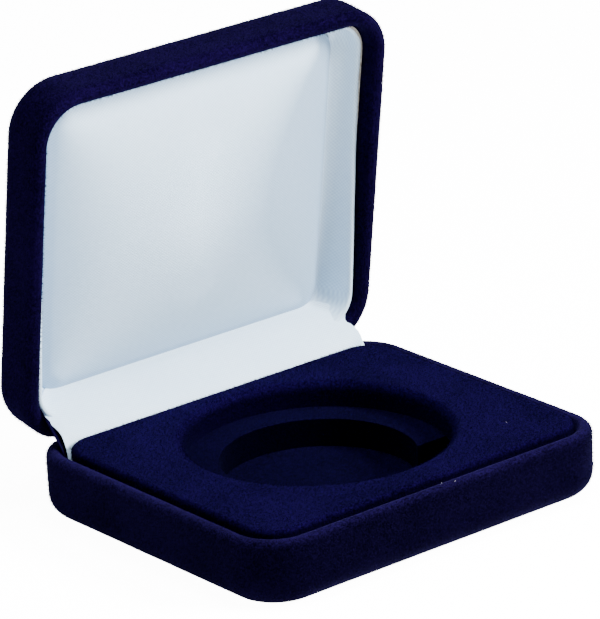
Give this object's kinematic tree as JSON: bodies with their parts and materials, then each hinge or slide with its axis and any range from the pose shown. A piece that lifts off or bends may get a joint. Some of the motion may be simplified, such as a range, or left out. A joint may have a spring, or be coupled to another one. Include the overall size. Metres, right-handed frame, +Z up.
{
  "type": "hinged coin capsule box",
  "caption": "Small hinged velvet-covered box with a stepped round recess for coin capsules and a padded satin lid lining.",
  "frame": {"origin": "centre of the base's flat underside", "axes": "+Z up, +X along the hinge, +Y towards the hinge; the lid stands open at rest"},
  "size_m": [0.078, 0.0757, 0.0782],
  "materials": {
    "velvet": "navy velvet pile",
    "flock": "navy flocked surface on card",
    "satin": "white satin twill",
    "wadding": "soft white wadding",
    "card": "plain grey card",
    "steel": "plain pressed sheet",
    "rivet": "plated",
    "spring_steel": "blued spring steel"
  },
  "bodies": {
    "base": {"base_velvet": "velvet", "base_shell": "steel", "recess_floor": "flock", "insert_lower": "flock", "insert_upper": "flock", "hinge_leaf_base": "steel", "base_rivet_left": "rivet", "base_rivet_right": "rivet", "hinge_pin": "spring_steel", "hinge_spring": "spring_steel"},
    "lid": {"lid_velvet": "velvet", "lid_shell": "steel", "lid_pad_board": "card", "lid_wadding": "wadding", "lid_lining": "satin", "lid_collar_card": "card", "lid_collar_satin": "satin", "hinge_leaf_lid": "steel", "lid_rivet_left": "rivet", "lid_rivet_right": "rivet", "hinge_flap": "satin"}
  },
  "joints": [
    {"name": "lid_hinge", "type": "hinge", "parent": "base", "child": "lid", "pos_m": [0, 0.03215, 0.01235], "axis": [1, 0, 0], "range_deg": [0, 81.1], "deforming": ["hinge_flap", "hinge_spring"]}
  ]
}
